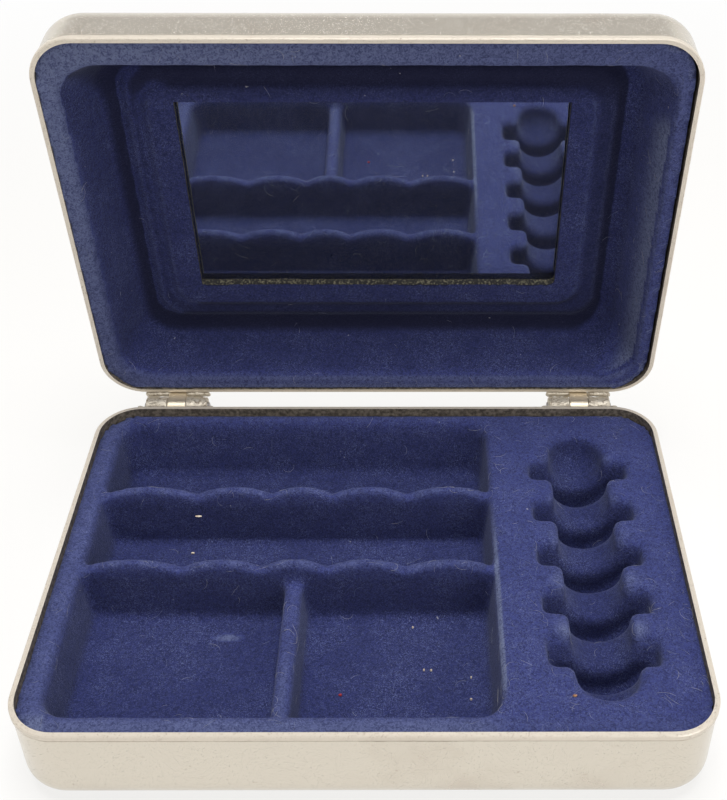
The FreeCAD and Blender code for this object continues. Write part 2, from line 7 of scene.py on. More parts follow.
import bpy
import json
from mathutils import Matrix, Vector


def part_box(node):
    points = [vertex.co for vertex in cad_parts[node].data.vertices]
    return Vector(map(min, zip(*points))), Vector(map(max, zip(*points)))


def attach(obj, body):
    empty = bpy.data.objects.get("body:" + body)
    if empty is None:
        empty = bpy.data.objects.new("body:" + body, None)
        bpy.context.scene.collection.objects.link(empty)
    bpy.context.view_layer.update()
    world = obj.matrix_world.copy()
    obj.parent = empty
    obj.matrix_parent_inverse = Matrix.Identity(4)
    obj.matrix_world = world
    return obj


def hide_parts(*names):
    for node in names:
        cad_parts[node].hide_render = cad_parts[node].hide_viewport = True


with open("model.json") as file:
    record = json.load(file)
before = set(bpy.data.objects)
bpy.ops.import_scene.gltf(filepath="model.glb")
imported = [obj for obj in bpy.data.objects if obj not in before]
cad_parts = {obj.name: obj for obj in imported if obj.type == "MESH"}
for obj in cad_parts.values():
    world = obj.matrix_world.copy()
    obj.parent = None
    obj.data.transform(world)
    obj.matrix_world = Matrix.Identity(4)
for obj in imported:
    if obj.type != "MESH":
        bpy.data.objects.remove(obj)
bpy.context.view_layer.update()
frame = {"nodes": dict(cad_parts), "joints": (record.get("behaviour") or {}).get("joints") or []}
nodes = frame["nodes"]
print("CAD pieces:", ", ".join(sorted(nodes)))

# %% [markdown]
# ## The photograph's camera
# The photograph looks down into the open box from a little right of its middle. The camera's place, angle and lens
# were worked out beforehand from the straight rim edges, and from the ribs and their reflections in the mirror.
# A Blender camera looks along its own -Z, so it is tipped up to the horizon, less the angle that it looks down.

# %% Camera
import bpy
from math import cos, radians, sin
from mathutils import Matrix, Vector, noise

PHOTO_WIDTH = 727
PHOTO_HEIGHT = 800
AXIS_PIXEL_X = 425.9
AXIS_PIXEL_Y = 374.8
FOCAL_PIXELS = 1229.4
CAMERA_PLACE = Vector((0.01185, -0.2119, 0.23881))
CAMERA_DOWN = radians(37.319)
CAMERA_TURN = radians(-0.329)
CAMERA_ROLL = radians(0.195)

lens = bpy.data.cameras.new("photo_camera")
lens.lens = FOCAL_PIXELS / PHOTO_HEIGHT * lens.sensor_width
lens.shift_x = (PHOTO_WIDTH / 2 - AXIS_PIXEL_X) / PHOTO_HEIGHT
lens.shift_y = (AXIS_PIXEL_Y - PHOTO_HEIGHT / 2) / PHOTO_HEIGHT
lens.clip_start = 0.01
camera = bpy.data.objects.new("photo_camera", lens)
bpy.context.scene.collection.objects.link(camera)
turned = Matrix.Rotation(CAMERA_TURN, 4, "Z")
tipped = Matrix.Rotation(radians(90) - CAMERA_DOWN, 4, "X")
rolled = Matrix.Rotation(CAMERA_ROLL, 4, "Z")
camera.matrix_world = Matrix.Translation(CAMERA_PLACE) @ turned @ tipped @ rolled
bpy.context.scene.camera = camera
print(f"camera: {lens.lens:.1f} mm lens")

# %% [markdown]
# ## Helpers for shader nodes
# Each finish below is a handful of shader nodes. They could be wired one by one, but the same few steps come back in
# every finish, so small helpers do them: they add a node, start a material, and feed a socket.

# %% Node helpers
def add(tree, kind, **properties):
    """One new shader node with its properties set."""
    node = tree.nodes.new(kind)
    for name, value in properties.items():
        setattr(node, name, value)
    return node


def new_finish(name, **sockets):
    """A new material, with plain values set on the sockets of its Principled shader."""
    material = bpy.data.materials.new(name)
    material.use_nodes = True
    shader = material.node_tree.nodes["Principled BSDF"]
    for socket, value in sockets.items():
        shader.inputs[socket.replace("_", " ")].default_value = value
    return material, material.node_tree, shader


def connect(tree, value, socket):
    """Feeds a socket from another socket, or sets it to a plain value or colour."""
    if isinstance(value, bpy.types.NodeSocket):
        tree.links.new(value, socket)
    elif isinstance(value, tuple):
        socket.default_value = (*value, 1)
    else:
        socket.default_value = value


print("node helpers ready")

# %% [markdown]
# Old metal and cloth are uneven at many sizes. Noise gives that without any image: it is laid over a piece in
# metres, so that it stays the same size on every piece, turned into a mask, and used to lay one colour over another.

# %% Noise, masks and colours
def cloud(tree, size, stretch=(1, 1, 1), turn=(0, 0, 0), detail=3, swirl=0):
    """Noise over the piece with blotches of about that size in metres, drawn out by stretch and curled by swirl."""
    place = add(tree, "ShaderNodeTexCoord")
    turned = add(tree, "ShaderNodeMapping")
    turned.inputs["Rotation"].default_value = turn
    scaled = add(tree, "ShaderNodeMapping")
    scaled.inputs["Scale"].default_value = [1 / (size * share) for share in stretch]
    texture = add(tree, "ShaderNodeTexNoise")
    for socket, value in (("Scale", 1), ("Detail", detail), ("Distortion", swirl)):
        texture.inputs[socket].default_value = value
    tree.links.new(place.outputs["Object"], turned.inputs["Vector"])
    tree.links.new(turned.outputs["Vector"], scaled.inputs["Vector"])
    tree.links.new(scaled.outputs["Vector"], texture.inputs["Vector"])
    return texture.outputs[0]


def mask(tree, source, low, high, least=0, most=1):
    """A value that goes smoothly from least to most while the source goes from low to high."""
    spread = add(tree, "ShaderNodeMapRange", interpolation_type="SMOOTHSTEP")
    for socket, value in zip(("From Min", "From Max", "To Min", "To Max"), (low, high, least, most)):
        connect(tree, value, spread.inputs[socket])
    tree.links.new(source, spread.inputs["Value"])
    return spread.outputs["Result"]


def combine(tree, operation, *values):
    """Two or three values added, multiplied and so on."""
    sum_up = add(tree, "ShaderNodeMath", operation=operation)
    for value, socket in zip(values, sum_up.inputs):
        connect(tree, value, socket)
    return sum_up.outputs["Value"]


def lay_over(tree, under, over, where):
    """One colour laid over another by a mask."""
    mix = add(tree, "ShaderNodeMix", data_type="RGBA")
    sockets = {socket.identifier: socket for socket in mix.inputs}
    for value, socket in ((where, "Factor_Float"), (under, "A_Color"), (over, "B_Color")):
        connect(tree, value, sockets[socket])
    return next(socket for socket in mix.outputs if socket.identifier == "Result_Color")


def raise_by(tree, shader, height, distance):
    """Bumps the shader's surface by a height from 0 to 1, where 1 stands for that distance in metres."""
    bump = add(tree, "ShaderNodeBump")
    bump.inputs["Distance"].default_value = distance
    tree.links.new(height, bump.inputs["Height"])
    tree.links.new(bump.outputs["Normal"], shader.inputs["Normal"])


print("noise and mask helpers ready")

# %% [markdown]
# ## Wear on metal, and grain
# All the metal is old: it has soft smudges of tarnish, small pits and a net of fine scratches. Several finishes use
# these three, each in its own strength, so they are one shader group that puts out three masks. Duller things, such
# as solder, card and felt, only have a grain of specks. That is a second group, and its inputs set the grain's size.

# %% Shader groups
def start_group(name, inputs, outputs):
    """An empty shader group with those float sockets, and the sockets inside it."""
    group = bpy.data.node_groups.new(name, "ShaderNodeTree")
    for labels, way in ((inputs, "INPUT"), (outputs, "OUTPUT")):
        for label in labels:
            group.interface.new_socket(label, in_out=way, socket_type="NodeSocketFloat")
    return group, add(group, "NodeGroupInput").outputs, add(group, "NodeGroupOutput").inputs


metal_wear, _, wear_out = start_group("metal_wear", (), ("Smudges", "Pits", "Scratches"))
smudges = mask(metal_wear, cloud(metal_wear, 0.022, detail=6), 0.52, 0.80)
pits = mask(metal_wear, cloud(metal_wear, 0.0009, detail=2), 0.70, 0.80)
one_way = cloud(metal_wear, 0.00022, stretch=(60, 1, 1), turn=(0.3, 0.5, 0.6))
other_way = cloud(metal_wear, 0.00018, stretch=(90, 1, 1), turn=(-0.4, 0.2, -0.9))
scratches = mask(metal_wear, combine(metal_wear, "MAXIMUM", one_way, other_way), 0.60, 0.74)
for label, source in (("Smudges", smudges), ("Pits", pits), ("Scratches", scratches)):
    metal_wear.links.new(source, wear_out[label])

grain, grain_in, grain_out = start_group("grain", ("Size", "Detail", "Swirl", "Low", "High"), ("Specks",))
scaled = add(grain, "ShaderNodeVectorMath", operation="SCALE")
texture = add(grain, "ShaderNodeTexNoise")
texture.inputs["Scale"].default_value = 1
for source, socket in ((add(grain, "ShaderNodeTexCoord").outputs["Object"], scaled.inputs[0]),
                       (combine(grain, "DIVIDE", 1, grain_in["Size"]), scaled.inputs["Scale"]),
                       (scaled.outputs["Vector"], texture.inputs["Vector"]),
                       (grain_in["Detail"], texture.inputs["Detail"]),
                       (grain_in["Swirl"], texture.inputs["Distortion"]),
                       (mask(grain, texture.outputs[0], grain_in["Low"], grain_in["High"]), grain_out["Specks"])):
    grain.links.new(source, socket)
print("groups:", metal_wear.name, "and", grain.name)

# %% Metal and speckled finishes
PIT_SHARE = 0.6


def metal(name, colour, tarnish, roughness, dulled, tarnish_share=0.5, bump=0.00004, bare=1, marked=0):
    """Plated or bare metal with the wear group on it, and scratches that are marked in the colour too."""
    material, tree, shader = new_finish(name, Metallic=bare)
    wear = add(tree, "ShaderNodeGroup", node_tree=metal_wear).outputs
    for label, share in (("Smudges", tarnish_share), ("Pits", PIT_SHARE), ("Scratches", marked)):
        colour = lay_over(tree, colour, tarnish, combine(tree, "MULTIPLY", wear[label], share))
    tree.links.new(colour, shader.inputs["Base Color"])
    dull = combine(tree, "MAXIMUM", wear["Smudges"], wear["Scratches"])
    tree.links.new(combine(tree, "MULTIPLY_ADD", dull, dulled, roughness), shader.inputs["Roughness"])
    raise_by(tree, shader, combine(tree, "SUBTRACT", wear["Scratches"], wear["Pits"]), bump)
    return material


def speckled(name, under, over, size, low, high, bump=0, detail=3, swirl=0, **sockets):
    """A finish in two colours, the second in specks of about that size, which stand out by the bump."""
    material, tree, shader = new_finish(name, **sockets)
    specks = add(tree, "ShaderNodeGroup", node_tree=grain)
    for label, value in (("Size", size), ("Detail", detail), ("Swirl", swirl), ("Low", low), ("High", high)):
        specks.inputs[label].default_value = value
    tree.links.new(lay_over(tree, under, over, specks.outputs["Specks"]), shader.inputs["Base Color"])
    if bump:
        raise_by(tree, shader, specks.outputs["Specks"], bump)
    return material


print("metal and speckled finishes ready")

# %% [markdown]
# ## Shells and rims
# The tub and the lid are pressed from thin sheet and silver plated. The CAD solids already have the rounded edges and
# true wall thickness, and their meshes carry smooth normals, so they stay and only get a finish. The rims were filed
# flat by hand after soldering, so their scratches are deeper and show in the colour too.

# %% Silver plate and filed rim
SILVER = (0.685, 0.63, 0.54)
TARNISHED_SILVER = (0.44, 0.35, 0.28)
FILED_SILVER = (0.74, 0.68, 0.60)

silver = metal("silver_plate", SILVER, TARNISHED_SILVER, 0.20, 0.14, tarnish_share=0.25)
filed = metal("filed_rim", FILED_SILVER, TARNISHED_SILVER, 0.36, 0.2, tarnish_share=0.35, bump=0.00012,
              bare=0.4, marked=0.6)


def dress(node, material):
    """Gives a CAD piece that keeps its own mesh a finish of this scene."""
    piece = nodes[node]
    piece.data.materials.clear()
    piece.data.materials.append(material)
    print(node, "gets", material.name)


for half in ("base", "lid"):
    dress(f"{half}_shell", silver)
    dress(f"{half}_rim", filed)

# %% [markdown]
# Polish never reached the strip of wall between rim and liner, so that has gone brown. It could be painted by a mask,
# but a second finish on just those faces keeps the edge between them sharp. The mouth's direction tells
# walls from lands: it is straight up for the base, and for the leaning lid it is the way the mirror faces.

# %% Inner faces of the metal
UP = Vector((0, 0, 1))
WALL_TILT = 0.4
across = Vector((1, 0, 0))
mirror_front = max((face for face in nodes["mirror"].data.polygons if face.normal.y < 0), key=lambda face: face.area)
facing = mirror_front.normal.copy()
MOUTH = {"base": UP, "lid": facing}

brown_inside = speckled("brown_inside", (0.075, 0.064, 0.050), (0.27, 0.235, 0.19), 0.0009, 0.30, 0.75,
                        bump=0.0001, detail=5, Metallic=0.35, Roughness=0.6)


def brown_walls(node, mouth):
    """Gives the inner walls of a pan or rim the brown finish."""
    mesh = nodes[node].data
    middle = (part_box(node)[0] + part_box(node)[1]) / 2
    mesh.materials.append(brown_inside)
    walls = [face for face in mesh.polygons if abs(face.normal.dot(mouth)) < WALL_TILT]
    for face in walls:
        face.material_index = int(face.normal.dot(middle - face.center) > 0)
    print(node, "has", sum(face.material_index for face in walls), "brown faces")


for half, mouth in MOUTH.items():
    brown_walls(f"{half}_shell", mouth)
    brown_walls(f"{half}_rim", mouth)

# %% [markdown]
# ## Hinges
# Each hinge has two rough knuckles on the tub, covered in solder, and a brass knuckle on the lid with its strap.
# A steel pin runs through all three. Brass and steel wear as the plate does, so they use the same metal finish, and
# the crust of solder is speckled.

# %% Hinge finishes
solder = speckled("dull_solder", (0.66, 0.605, 0.51), (0.31, 0.25, 0.18), 0.0010, 0.46, 0.74,
                  bump=0.00012, detail=4, swirl=1, Metallic=0.7, Roughness=0.55)
brass = metal("worn_brass", (0.84, 0.74, 0.57), (0.40, 0.30, 0.20), 0.45, 0.2)
steel = metal("pin_steel", (0.42, 0.40, 0.38), (0.24, 0.16, 0.10), 0.35, 0.2)
for side in ("left", "right"):
    dress(f"{side}_hinge_lid_leaf", brass)
    dress(f"{side}_hinge_pin", steel)

# %% [markdown]
# ## Flock
# Flock is a coat of short nylon fibres standing on glue. It takes light like velvet: dark when looked straight into,
# and pale where the fibres bend over an edge. Real hairs in such numbers would be far too heavy, so the pile is colour,
# sheen and bump, and part of its light and shade is painted into the colour. The finish reads two attributes that each
# liner stores on its points below: crest is high on ridges, which are painted pale, as a highlight and as dust. Proud
# is
# high near the mouth: lower down the flock is painted darker as shade, and over 1 it marks pale rubbed and dusty places
# and places painted lit.

# %% Flock finish
FLOCK_SHADE = (0.010, 0.012, 0.040)
# Deep, low and high are one flock colour with painted shade and painted light, chosen by depth.
FLOCK_DEEP_SHADE = (0.015, 0.017, 0.050)
FLOCK_LOW_SHADED = (0.030, 0.038, 0.142)
FLOCK_HIGH_LIT = (0.043, 0.055, 0.205)
FLOCK_PALE = (0.125, 0.150, 0.330)
# Pale flock for dust and wear, and for the painted highlight on edges and lit places.
FLOCK_DUST_AND_HIGHLIGHT = (0.165, 0.200, 0.345)
LINT = (0.42, 0.43, 0.47)

flock, tree, shader = new_finish("blue_flock", Roughness=0.95, Specular_IOR_Level=0.12, Sheen_Weight=0.16,
                                 Sheen_Roughness=0.45, Sheen_Tint=(0.58, 0.66, 1.0, 1))
crest, proud = [add(tree, "ShaderNodeAttribute", attribute_name=name).outputs["Fac"] for name in ("crest", "proud")]
fibres = cloud(tree, 0.0008, detail=4, swirl=1.5)
patches = cloud(tree, 0.010, detail=5)
strands = mask(tree, cloud(tree, 0.0006, swirl=3), 0.50, 0.66)
specks = mask(tree, cloud(tree, 0.0011, detail=1), 0.80, 0.83, 0, 0.6)

# Painted shade by depth: the folds are darkest and the flange is brightest, with gaps between the fibres everywhere.
fold_shade = lay_over(tree, FLOCK_DEEP_SHADE, FLOCK_LOW_SHADED, mask(tree, proud, 0.02, 0.13))
pile = lay_over(tree, fold_shade, FLOCK_HIGH_LIT, mask(tree, proud, 0.75, 0.97))
shaded = lay_over(tree, pile, FLOCK_SHADE, mask(tree, fibres, 0.38, 0.60, 0.55, 0))

# Pale strands lie on top in patches, fewer in the folds, so that the painted shade there stays dark.
raised = combine(tree, "MULTIPLY", strands, mask(tree, proud, 0.02, 0.16, 0.15, 1))
strand_share = combine(tree, "MULTIPLY", raised, mask(tree, patches, 0.35, 0.70, 0.35, 0.95))
stranded = lay_over(tree, shaded, FLOCK_PALE, strand_share)

# Ridges are painted pale, as a highlight and as dust, and so is whatever is marked as more than proud: rubbed and dusty
# places, and places painted lit.
worn = combine(tree, "MAXIMUM", mask(tree, crest, 0.05, 0.18, 0, 0.55), mask(tree, proud, 1.0, 1.5))
dust_and_highlight_share = combine(tree, "MULTIPLY", worn, mask(tree, fibres, 0.30, 0.65, 0.2, 1.0))
dusty = lay_over(tree, stranded, FLOCK_DUST_AND_HIGHLIGHT, dust_and_highlight_share)
tree.links.new(lay_over(tree, dusty, LINT, specks), shader.inputs["Base Color"])
raise_by(tree, shader, fibres, 0.0003)
print("flock finish:", len(tree.nodes), "nodes")

# %% [markdown]
# ## From a CAD solid to a soft skin
# A liner is a thin formed sheet with flock on its face. Only the face is seen, so the recipe takes the face side of the
# CAD solid, closes it to a block, lets the voxel remesh fill it with small even quads, smooths them, and then throws
# the block's back away and gives the skin its thickness again. The even quads carry the unevenness of the fibres.

# %% Skin helpers
import bmesh

VOXEL = 0.00085
FLOCKED_SHEET = 0.0009
MERGE_DISTANCE = 0.000002
FACE_SIDE = -0.05
BACK_SIDE = 0.3


def merged_copy(node):
    """A bmesh of a CAD piece with its loose triangles joined up."""
    shape = bmesh.new()
    shape.from_mesh(nodes[node].data)
    bmesh.ops.remove_doubles(shape, verts=shape.verts, dist=MERGE_DISTANCE)
    return shape


def spread(start, allowed):
    """The faces reached from the start faces by crossing edges onto faces that are allowed."""
    found = set(start)
    waiting = list(start)
    while waiting:
        for edge in waiting.pop().edges:
            for face in edge.link_faces:
                if face not in found and allowed(face):
                    found.add(face)
                    waiting.append(face)
    return found


def keep_face_side(shape, facing):
    """Deletes all but the faces on the side that the piece faces, with the edges round them."""
    front = max(shape.faces, key=lambda face: face.calc_center_median().dot(facing))
    kept = spread([front], lambda face: face.normal.dot(facing) > FACE_SIDE)
    bmesh.ops.delete(shape, geom=[face for face in shape.faces if face not in kept], context="FACES")


def close_to_block(shape, facing, back):
    """Carries the open edge straight back to a plane and closes it there."""
    edge = [edge for edge in shape.edges if edge.is_boundary]
    wall = bmesh.ops.extrude_edge_only(shape, edges=edge)["geom"]
    for point in (item for item in wall if isinstance(item, bmesh.types.BMVert)):
        point.co += facing * (back - point.co.dot(facing))
    bmesh.ops.holes_fill(shape, edges=[edge for edge in shape.edges if edge.is_boundary])
    bmesh.ops.recalc_face_normals(shape, faces=shape.faces)


def bare_object(name, shape, *materials):
    """A mesh object that no body carries yet."""
    mesh = bpy.data.meshes.new(name)
    shape.to_mesh(mesh)
    shape.free()
    for material in materials:
        mesh.materials.append(material)
    piece = bpy.data.objects.new(name, mesh)
    bpy.context.scene.collection.objects.link(piece)
    return piece


def even_quads(shape, voxel):
    """The block remeshed to even quads."""
    piece = bare_object("rough", shape)
    rough = piece.data
    remesh = piece.modifiers.new("even_quads", "REMESH")
    remesh.mode = "VOXEL"
    remesh.voxel_size = voxel
    even = bmesh.new()
    even.from_object(piece, bpy.context.evaluated_depsgraph_get())
    bpy.data.objects.remove(piece)
    bpy.data.meshes.remove(rough)
    even.normal_update()
    return even


def drop_back(shape, facing):
    """Deletes the block's back and sides, so that the skin is left."""
    back = min(shape.faces, key=lambda face: face.calc_center_median().dot(facing))
    hidden = spread([back], lambda face: face.normal.dot(facing) < BACK_SIDE)
    bmesh.ops.delete(shape, geom=list(hidden), context="FACES")


def neighbours(point):
    """The points at the other ends of a point's edges."""
    return [edge.other_vert(point) for edge in point.link_edges]


def soften(shape, points, rounds):
    """Smooths the points, except those on an open edge and next to one."""
    edge = {point for point in shape.verts if point.is_boundary}
    edge |= {other for point in edge for other in neighbours(point)}
    inner = [point for point in points if point not in edge]
    for _ in range(rounds):
        bmesh.ops.smooth_vert(shape, verts=inner, factor=0.5, use_axis_x=True, use_axis_y=True, use_axis_z=True)
    shape.normal_update()


print("skin helpers ready")

# %% [markdown]
# The crest attribute compares each point with the middle of its neighbours, then averages that over a few rounds so
# that it marks whole ridges. The proud attribute is plain height. Both are stored on the points, because a finish can
# read them there.

# %% Crest and height
def share(value):
    """The value, held between 0 and 1."""
    return min(1, max(0, value))


def mark_crests(shape, voxel, rounds):
    """Stores how far each point stands out of its surroundings, as a share of a voxel."""
    shape.normal_update()
    layer = shape.verts.layers.float.new("crest")
    value = {}
    for point in shape.verts:
        around = neighbours(point)
        middle = sum((other.co for other in around), Vector()) / len(around)
        value[point] = (point.co - middle).dot(point.normal) / voxel
    for _ in range(rounds):
        value = {point: sum(value[other] for other in neighbours(point)) / len(point.link_edges) for point in value}
    for point in shape.verts:
        point[layer] = value[point]


def mark_height(shape, facing, least, top):
    """Stores how far each point has come from the deepest, which counts as least, towards the flange at 1."""
    layer = shape.verts.layers.float.new("proud")
    depths = [point.co.dot(facing) for point in shape.verts]
    low = min(depths)
    for point, depth in zip(shape.verts, depths):
        point[layer] = least + (1 - least) * min(1, (depth - low) / (top - low))


print("crest and height helpers ready")

# %% [markdown]
# A remeshed skin has a stepped edge, which would leave gaps at the rim. Each point of that edge is moved onto the
# rounded rectangle that the rim leaves open. The fibres' unevenness is two sizes of noise along the normal.

# %% Edge and fibre helpers
RIM_LAND = Vector((0.0012, 0.0012))
RIM_CORNER = 0.0099
BROAD_NOISE = 180
FINE_NOISE = 900


def rim_reach(half):
    """The rim's directions, across, along and to its mouth, and how far it reaches in each."""
    axes = across, MOUTH[half].cross(across), MOUTH[half]
    points = [point.co for point in nodes[f"{half}_rim"].data.vertices]
    low, high = [Vector([pick(point.dot(axis) for point in points) for axis in axes]) for pick in (min, max)]
    return axes, low, high


def fit_to_rim(shape, half, right_gap):
    """Carries the open edge of a skin out to the inner outline of the rim round it."""
    (_, along, _), low, high = rim_reach(half)
    gap = Vector((right_gap, 0))
    corner = Vector((RIM_CORNER, RIM_CORNER))
    middle = (low.xy + high.xy) / 2 - gap / 2
    reach = (high.xy - low.xy - gap) / 2 - RIM_LAND
    for point in (point for point in shape.verts if point.is_boundary):
        place = Vector((point.co.x, point.co.dot(along))) - middle
        sign = Vector((1 if place.x > 0 else -1, 1 if place.y > 0 else -1))
        out = place * sign - reach + corner
        if min(out) > 0:
            out = out.normalized() * RIM_CORNER
        else:
            out[0 if out.x > out.y else 1] = RIM_CORNER
        shift = (out - corner + reach) * sign - place
        point.co += across * shift.x + along * shift.y


def roughen(shape, broad, fine):
    """Moves each point along its normal by noise of two sizes, given as heights in metres."""
    for point in shape.verts:
        swell = noise.noise(point.co * BROAD_NOISE) * broad
        fuzz = noise.noise(point.co * FINE_NOISE) * fine
        point.co += point.normal * (swell + fuzz)


print("rim openings:", [[round(1000 * part, 1) for part in rim_reach(half)[2] - rim_reach(half)[1]] for half in MOUTH])

# %% [markdown]
# ## Lint
# Velvet gathers loose hairs. Blender's particle hair would be lost in an export, so each hair is a mesh: a thin tube
# that starts at a random point of the skin, creeps over it in short steps while it bends, and is drawn to a point at
# both ends. Most of them lie on the flange.

# %% Lint
from mathutils.bvhtree import BVHTree
import random

HAIR_RADIUS = 0.000035
HAIR_STEP = 0.0005
HAIR_BEND = 0.35
HAIR_SIDES = 3
HAIR_STEPS = 5, 11
FLANGE_HAIRS = 0.6
ON_FLANGE = 0.97
chance = random.Random(5)
lint = speckled("lint", (0.12, 0.145, 0.27), (0.36, 0.37, 0.42), 0.004, 0.35, 0.65, Roughness=0.8)


def creep(surface, place, normal, steps):
    """The points and normals of a hair that creeps over the surface and bends steadily."""
    way = Matrix.Rotation(chance.uniform(0, radians(360)), 3, normal) @ normal.orthogonal().normalized()
    bend = chance.uniform(-HAIR_BEND, HAIR_BEND)
    path = []
    for _ in range(steps):
        path.append((place + normal * HAIR_RADIUS, normal))
        way = Matrix.Rotation(bend, 3, normal) @ way
        place, normal, _, _ = surface.find_nearest(place + way * HAIR_STEP)
        way = (way - normal * way.dot(normal)).normalized()
    return path


def sweep(shape, rings):
    """Extrudes a ring of edges from place to place, and gives back its first and last points."""
    ring = bmesh.ops.create_circle(shape, segments=len(rings[0]), radius=1)["verts"]
    first = ring
    for places in rings:
        if places is not rings[0]:
            edges = {edge for point in ring for edge in point.link_edges if edge.other_vert(point) in ring}
            added = bmesh.ops.extrude_edge_only(shape, edges=list(edges))["geom"]
            ring = [next(other for other in neighbours(point) if other in added) for point in ring]
        for point, place in zip(ring, places):
            point.co = place
    return first, ring


def add_hair(shape, path):
    """A three-sided tube along the path, closed to a point at both ends."""
    rings = []
    for (before, _), (place, normal), (after, _) in zip(path, path[1:], path[2:]):
        along = (after - before).normalized()
        rings.append([place + Matrix.Rotation(radians(360 * side / HAIR_SIDES), 3, along) @ normal * HAIR_RADIUS
                      for side in range(HAIR_SIDES)])
    first, last = sweep(shape, [rings[0], *rings, rings[-1]])
    for end, tip in ((first, path[0][0]), (last, path[-1][0])):
        bmesh.ops.pointmerge(shape, verts=end, merge_co=tip)


def lint_on(skin, count):
    """That many hairs on a skin, most of them on its flange."""
    skin.normal_update()
    surface = BVHTree.FromBMesh(skin)
    layer = skin.verts.layers.float["proud"]
    inner = [point for point in skin.verts if not point.is_boundary]
    flange = [point for point in inner if point[layer] > ON_FLANGE]
    hairs = bmesh.new()
    for number in range(count):
        start = chance.choice(flange if number < count * FLANGE_HAIRS else inner)
        add_hair(hairs, creep(surface, start.co, start.normal, chance.randint(*HAIR_STEPS)))
    bmesh.ops.recalc_face_normals(hairs, faces=hairs.faces)
    return hairs


print("lint helpers ready")

# %% [markdown]
# ## The tray in the base
# The tray is one formed sheet: two scalloped ribs and a divider make four compartments, and beside them is a trough
# with five slots for finger rings. It is the piece that took the most skill to form. The CAD solid has all its forms,
# so its face is taken over by the recipe above, and then gets the softness and wear that a solid can't have.

# %% Tray skin
FLANGE_LEVEL = 0.0224
# Where the tray's painted shade by depth starts: the floor gets the shaded low tone, not the deepest shade.
FLOOR_SHADE_LEVEL = 0.2

tray = merged_copy("base_liner")
keep_face_side(tray, UP)
close_to_block(tray, UP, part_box("base_liner")[0].z)
tray = even_quads(tray, VOXEL)
drop_back(tray, UP)
soften(tray, tray.verts, 2)
mark_crests(tray, VOXEL, 2)
mark_height(tray, UP, FLOOR_SHADE_LEVEL, FLANGE_LEVEL)
print("tray skin:", len(tray.faces), "faces")

# %% [markdown]
# Hands reach over the front lip and rub it, and with it the left flange and the top of the divider. The edge beside
# the ring well is painted pale as a highlight. A mask of noise can't know these places, so they are marked on the
# points: a proud value over 1 turns the flock pale. A streak of dust also lies on the floor of the front left
# compartment.

# %% Rubbed front lip, and a painted highlight on the shoulder
FRONT_LIP_FROM = -0.0465
FRONT_LIP_FADE = 0.003
FRONT_LIP_WEAR = 0.22
FRONT_LIP_HEIGHT = 0.7
FRONT_LIP_TO_X = 0.036
FRONT_LIP_FADE_X = 0.012
FRONT_LIP_RIGHT_SHARE = 0.4
SHOULDER_X = 0.0303
SHOULDER_HALF = 0.0009
SHOULDER_DEPTH = 0.0018
SHOULDER_BACK = 0.022
SHOULDER_FADE = 0.03
SHOULDER_FRONT = -0.044
SHOULDER_END = 0.006
SHOULDER_HIGHLIGHT = 0.7

layer = tray.verts.layers.float["proud"]
for point in tray.verts:
    x, y, z = point.co
    if point[layer] > FRONT_LIP_HEIGHT:
        left = min(1, max(FRONT_LIP_RIGHT_SHARE, (FRONT_LIP_TO_X - x) / FRONT_LIP_FADE_X))
        point[layer] += left * FRONT_LIP_WEAR * share((FRONT_LIP_FROM - y) / FRONT_LIP_FADE)
    # A painted highlight along the shoulder beside the ring well.
    rubbed = max(0, 1 - abs(x - SHOULDER_X) / SHOULDER_HALF)
    rubbed *= share((SHOULDER_BACK - y) / SHOULDER_FADE) * share((y - SHOULDER_FRONT) / SHOULDER_END)
    if z > FLANGE_LEVEL - SHOULDER_DEPTH and rubbed > 0:
        point[layer] = 1 + SHOULDER_HIGHLIGHT * rubbed
print("rubbed points:", sum(point[layer] > 1 for point in tray.verts))

# %% Rubbed left flange and divider, and a streak of dust
LEFT_FLANGE_FROM = -0.068
LEFT_FLANGE_HEIGHT = 0.9
LEFT_FLANGE_WEAR = 0.15
DIVIDER_X = -0.0187
DIVIDER_HALF = 0.0024
DIVIDER_LEVEL = 0.0165
DIVIDER_BACK = -0.006
DIVIDER_WEAR = 0.2
DIVIDER_FADE = 0.03
STREAK_PLACE = Vector((-0.0349, -0.0130))
STREAK_HALF = Vector((0.0046, 0.0016))
STREAK_DUST = 0.5

for point in tray.verts:
    if point.co.x < LEFT_FLANGE_FROM and point[layer] > LEFT_FLANGE_HEIGHT:
        point[layer] += LEFT_FLANGE_WEAR
    beside = max(0, 1 - abs(point.co.x - DIVIDER_X) / DIVIDER_HALF)
    if beside and point.co.z > DIVIDER_LEVEL and point.co.y < DIVIDER_BACK:
        forward = min(1, (DIVIDER_BACK - point.co.y) / DIVIDER_FADE)
        point[layer] = max(point[layer], 1 + DIVIDER_WEAR * beside * forward)
    offset = point.co.xy - STREAK_PLACE
    reach = Vector((offset.x / STREAK_HALF.x, offset.y / STREAK_HALF.y)).length
    if reach < 1:
        point[layer] = max(point[layer], 1 + STREAK_DUST * (1 - reach))
print("rubbed or dusty points:", sum(point[layer] > 1 for point in tray.verts))

# %% [markdown]
# The ring slots are soft: each back wall leans back near its mouth, most at the front slot, and the floors are drawn
# deep. Moving the skin's own points keeps its even quads, where a cut would not. The tongues between the
# slots are rubbed by the rings, most at the front.

# %% Ring slots
WELL_FROM_X = 0.0365
SLOT_PITCH = 0.0154
SLOT_WIDTH = 0.0056
SLOT_LEAN = 0.0014
FRONT_SLOT_LEAN = 0.0030
LEAN_FROM_Z = 0.016
SLOT_FLOOR_FROM = 0.0115
SLOT_FLOOR_STRETCH = 1.5

